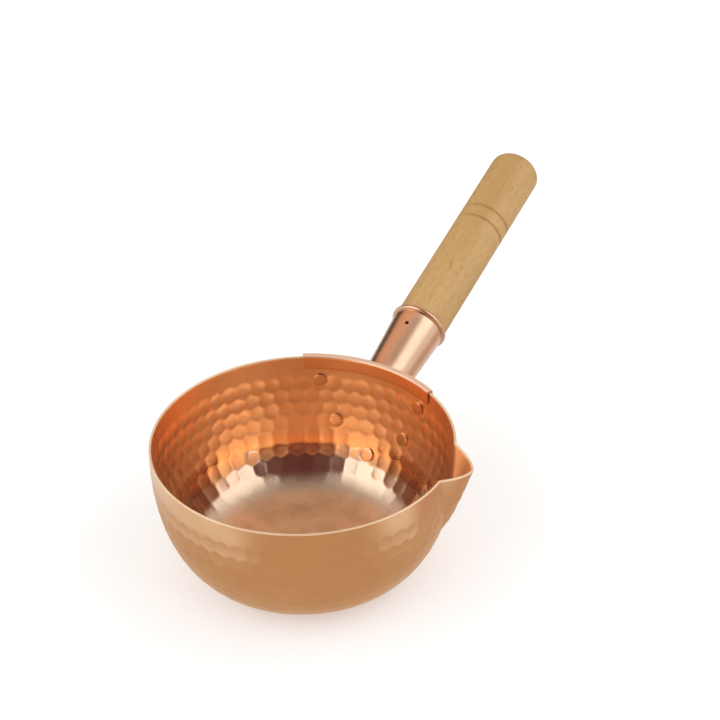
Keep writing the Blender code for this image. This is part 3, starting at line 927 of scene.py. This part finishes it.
def make_camera():
    forward = Vector((0.0, math.cos(CAMERA_PITCH), -math.sin(CAMERA_PITCH)))
    right = Vector((1.0, 0.0, 0.0))
    up = right.cross(forward)
    c, s = math.cos(CAMERA_ROLL), math.sin(CAMERA_ROLL)
    axes = (c * right - s * up, s * right + c * up, forward)
    x, y, forward = (Matrix.Rotation(CAMERA_YAW, 3, "Z") @ axis for axis in axes)
    across = (RIM_CENTRE_PIXEL[0] - FRAME_PIXELS / 2) / FOCAL_PIXELS
    rise = (FRAME_PIXELS / 2 - RIM_CENTRE_PIXEL[1]) / FOCAL_PIXELS
    place = Vector((0.0, 0.0, BOWL_HEIGHT)) - CAMERA_DISTANCE * (across * x + rise * y + forward)
    data = bpy.data.cameras.new("camera")
    data.sensor_width = SENSOR
    data.lens = FOCAL_PIXELS / FRAME_PIXELS * SENSOR
    data.clip_start, data.clip_end = CLIP
    camera = bpy.data.objects.new("camera", data)
    camera.matrix_world = Matrix.Translation(place) @ Matrix((x, y, -forward)).transposed().to_4x4()
    bpy.context.scene.collection.objects.link(camera)
    bpy.context.scene.camera = camera


def make_disc(name, radius, height, steps, material):
    vertices = [around(radius, math.tau * i / steps, height) for i in range(steps)]
    return make_object(name, vertices, [tuple(range(steps))], [material])


def background_rays(tree):
    """1 for the rays that show the white background: the camera's, and those in metal and glass."""
    ray = tree.nodes.new("ShaderNodeLightPath")
    shown = ray.outputs["Is Camera Ray"]
    for kind in ("Is Glossy Ray", "Is Transmission Ray"):
        node = tree.nodes.new("ShaderNodeMath")
        node.operation = "MAXIMUM"
        tree.links.new(shown, node.inputs[0])
        tree.links.new(ray.outputs[kind], node.inputs[1])
        shown = node.outputs["Value"]
    return shown


def make_floor():
    n = Nodes("pale_floor")
    n.finish((*FLOOR_COLOR, 1.0), FLOOR_ROUGHNESS)
    glow = n.tree.nodes.new("ShaderNodeEmission")
    n.link(n.math("MULTIPLY", background_rays(n.tree), FLOOR_GLOW), glow.inputs["Strength"])
    add = n.tree.nodes.new("ShaderNodeAddShader")
    n.link(n.shader.outputs["BSDF"], add.inputs[0])
    n.link(glow.outputs["Emission"], add.inputs[1])
    n.link(add.outputs["Shader"], n.tree.nodes["Material Output"].inputs["Surface"])
    n.material.cycles.emission_sampling = "NONE"
    make_disc("floor", FLOOR_RADIUS, 0.0, 64, n.material)


def make_world():
    """White for the camera and in the metal, and a plain soft light on everything else."""
    world = bpy.data.worlds.new("studio")
    world.use_nodes = True
    bpy.context.scene.world = world
    tree = world.node_tree
    background = tree.nodes["Background"]
    background.inputs["Color"].default_value = (*WHITE, 1.0)
    level = tree.nodes.new("ShaderNodeMapRange")
    tree.links.new(background_rays(tree), level.inputs["Value"])
    level.inputs["To Min"].default_value = ROOM_LIGHT
    tree.links.new(level.outputs["Result"], background.inputs["Strength"])


def room_point(azimuth, elevation, distance):
    """A point of the room, its azimuth counted from the camera's side of the pan."""
    turn = CAMERA_YAW - math.pi / 2 + azimuth
    level = distance * math.cos(elevation)
    return Vector((level * math.cos(turn), level * math.sin(turn), distance * math.sin(elevation)))


def soft_box(name, azimuth, elevation, width, height, strength):
    """A rectangular lamp of this radiance that faces the pan, with its place and size as angles seen from there."""
    data = bpy.data.lights.new(name, "AREA")
    data.shape = "RECTANGLE"
    data.size = 2 * ROOM_RADIUS * math.tan(width / 2)
    data.size_y = 2 * ROOM_RADIUS * math.tan(height / 2)
    data.energy = strength * math.pi * data.size * data.size_y
    lamp = bpy.data.objects.new(name, data)
    place = room_point(azimuth, elevation, ROOM_RADIUS)
    lamp.matrix_world = Matrix.Translation(place) @ place.to_track_quat("Z", "Y").to_matrix().to_4x4()
    lamp.visible_camera = False
    bpy.context.scene.collection.objects.link(lamp)


def metal_only(card):
    """A card of the studio that shows in the metal and does nothing else."""
    card.visible_camera = card.visible_diffuse = card.visible_shadow = False


def glow_ramp(name, levels, low, high):
    """A card's nodes, and a ramp of (place, color) stops between low and high whose place is still unlinked."""
    n = Nodes(name)
    ramp = n.tree.nodes.new("ShaderNodeValToRGB")
    ramp.color_ramp.interpolation = "EASE"
    stops = ramp.color_ramp.elements
    for place, _ in levels[1:-1]:
        stops.new((place - low) / (high - low))
    for stop, (place, color) in zip(stops, levels):
        stop.position = (place - low) / (high - low)
        stop.color = (*color, 1.0)
    return n, ramp


def glow_card(n, color):
    glow = n.tree.nodes.new("ShaderNodeEmission")
    n.put(glow.inputs["Color"], color)
    n.link(glow.outputs["Emission"], n.tree.nodes["Material Output"].inputs["Surface"])
    n.material.cycles.emission_sampling = "NONE"
    return n.material


def off_axis(n, place, azimuth, fade):
    """0 up to fade[0] away from this azimuth, counted from the camera's side of the pan, and 1 beyond fade[1]."""
    unit = n.vector_math("NORMALIZE", n.stretch(place, (1.0, 1.0, 0.0)))
    cosine = n.vector_math("DOT_PRODUCT", unit, room_point(azimuth, 0.0, 1.0), "Value")
    return n.span(cosine, math.cos(fade[1]), math.cos(fade[0]), 1.0, 0.0, True)


def make_vault():
    """The unlit side of the studio, from behind the camera to over the pan, which only the metal shows."""
    low, high = VAULT_LEVELS[0][0], VAULT_LEVELS[-1][0]
    n, ramp = glow_ramp("dim_vault", VAULT_LEVELS, low, high)
    toward, sideways, up = room_point(0.0, 0.0, 1.0), room_point(math.pi / 2, 0.0, 1.0), Vector((0.0, 0.0, 1.0))
    place = n.place()
    ahead = n.vector_math("DOT_PRODUCT", place, toward, "Value")
    climb = n.math("ARCTAN2", n.height(place), ahead)
    n.link(n.span(climb, math.radians(low), math.radians(high)), ramp.inputs["Fac"])
    rows, columns = 24, 12
    vertices = []
    for climb in spaced(math.radians(low), math.radians(high), rows):
        middle = math.cos(climb) * toward + math.sin(climb) * up
        width = 1.0 - VAULT_TAPER * smooth_step(*VAULT_TAPER_CLIMB, climb)
        for side in spaced(*(edge * width for edge in VAULT_SIDES), columns):
            vertices.append(ROOM_RADIUS * (math.cos(side) * middle + math.sin(side) * sideways))
    material = glow_card(n, ramp.outputs["Color"])
    metal_only(make_object("dim_vault", vertices, grid_faces(rows, columns), [material]))


def make_ceiling():
    """The room's ceiling, less bright than its walls, which only the metal shows."""
    material = glow_card(Nodes("dim_ceiling"), (CEILING_LEVEL, CEILING_LEVEL, CEILING_LEVEL, 1.0))
    metal_only(make_disc("dim_ceiling", CEILING_RADIUS, CEILING_HEIGHT, 48, material))


def make_back_card():
    """A warm backdrop behind the pan, dark at its foot and white at its top and sides, which only the metal shows."""
    levels = [(BACK_CARD_DISTANCE * math.tan(math.radians(climb)), color) for climb, color in BACK_CARD_LEVELS]
    top = levels[-1][0]
    n, ramp = glow_ramp("back_card", levels, 0.0, top)
    place = n.place()
    n.link(n.span(n.height(place), 0.0, top), ramp.inputs["Fac"])
    fade = off_axis(n, place, math.pi, BACK_CARD_FADE)
    material = glow_card(n, n.mix(fade, ramp.outputs["Color"], WHITE))
    rows, columns = 1, 24
    vertices = [
        room_point(math.pi + azimuth, 0.0, BACK_CARD_DISTANCE) + Vector((0.0, 0.0, height))
        for height in (0.0, top)
        for azimuth in spaced(-BACK_CARD_FADE[1], BACK_CARD_FADE[1], columns)
    ]
    metal_only(make_object("back_card", vertices, grid_faces(rows, columns), [material]))


def make_front_card():
    """The table round the pan, which only the metal shows: warm in front, and near the pan as a painted shadow and
    copper bounce light; a painted shade on the right; white elsewhere.
    """
    n = Nodes("front_card")
    place = n.place()
    apart = n.vector_math("LENGTH", n.stretch(place, (1.0, 1.0, 0.0)), output="Value")
    # Near the pan the warm colour is a painted shadow and copper bounce light; the side colour is a painted shade.
    away = n.span(apart, *FRONT_CARD_FADE_RADII, 0.0, 1.0, True)
    fade = n.math("MULTIPLY", off_axis(n, place, FRONT_CARD_AZIMUTH, FRONT_CARD_FADE), away)
    rest = n.mix(off_axis(n, place, SIDE_CARD_AZIMUTH, SIDE_CARD_FADE), SIDE_CARD_COLOR, WHITE)
    material = glow_card(n, n.mix(fade, FRONT_CARD_COLOR, rest))
    rows, columns = 1, 64
    vertices = [
        room_point(azimuth, 0.0, distance) + Vector((0.0, 0.0, FRONT_CARD_HEIGHT))
        for distance in FRONT_CARD_RADII
        for azimuth in spaced(-math.pi, math.pi, columns)
    ]
    metal_only(make_object("front_card", vertices, grid_faces(rows, columns), [material]))


def main():
    inside = copper(
        "copper_inside", (0.98, 0.595, 0.330), (0.95, 0.560, 0.300), (0.14, 0.20), 0.02, 0.000002,
        satin=SATIN_WALL, bottom=True,
    )
    # The outside's copper is the inside's colour darkened by about a quarter: painted shade on the outer wall.
    outside = copper("copper_outside", (0.73, 0.445, 0.240), (0.69, 0.410, 0.215), (0.18, 0.25), 0.03, PIT_DEPTH)
    # The lip's copper is paler and half metal: partly a rough cut edge, partly a painted highlight along the lip.
    edge = copper("copper_edge", (0.89, 0.67, 0.45), (0.85, 0.61, 0.39), (0.48, 0.58), 0.0, PIT_DEPTH, metal=0.5)
    plate = copper(
        "copper_plate", (0.96, 0.465, 0.21), (0.92, 0.435, 0.19), (0.32, 0.40), 0.02, PIT_DEPTH, pale_top=PALE_FOLD_TOP
    )
    tube = copper("copper_tube", (0.71, 0.48, 0.33), (0.66, 0.43, 0.29), (0.26, 0.33), 0.03, PIT_DEPTH)
    rivet = copper("copper_rivet", (0.87, 0.50, 0.27), (0.81, 0.45, 0.23), (0.24, 0.32), 0.0, PIT_DEPTH)

    pieces = [
        (make_bowl(inside, outside, edge), "bowl_copper", ["bowl"]),
        (make_bracket(plate), "fitting_copper", ["handle_bracket"]),
        (make_socket(tube), "fitting_copper", ["socket"]),
        (make_grip(wood()), "wood", ["wooden_handle"]),
        (make_nail(steel()), "nail_steel", ["handle_nail"]),
    ]
    pieces += [
        (thing, "rivet_copper", [f"rivet_{number}"])
        for number, thing in enumerate(make_rivets(rivet), 1)
    ]
    for thing, slot, nodes in pieces:
        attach(thing, "root")
        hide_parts(*nodes)
    make_camera()
    make_floor()
    make_world()
    make_vault()
    make_ceiling()
    make_back_card()
    make_front_card()
    for name, *degrees, strength in SOFT_BOXES:
        soft_box(name, *(math.radians(angle) for angle in degrees), strength)
    bpy.context.scene.view_settings.view_transform = "Standard"


main()
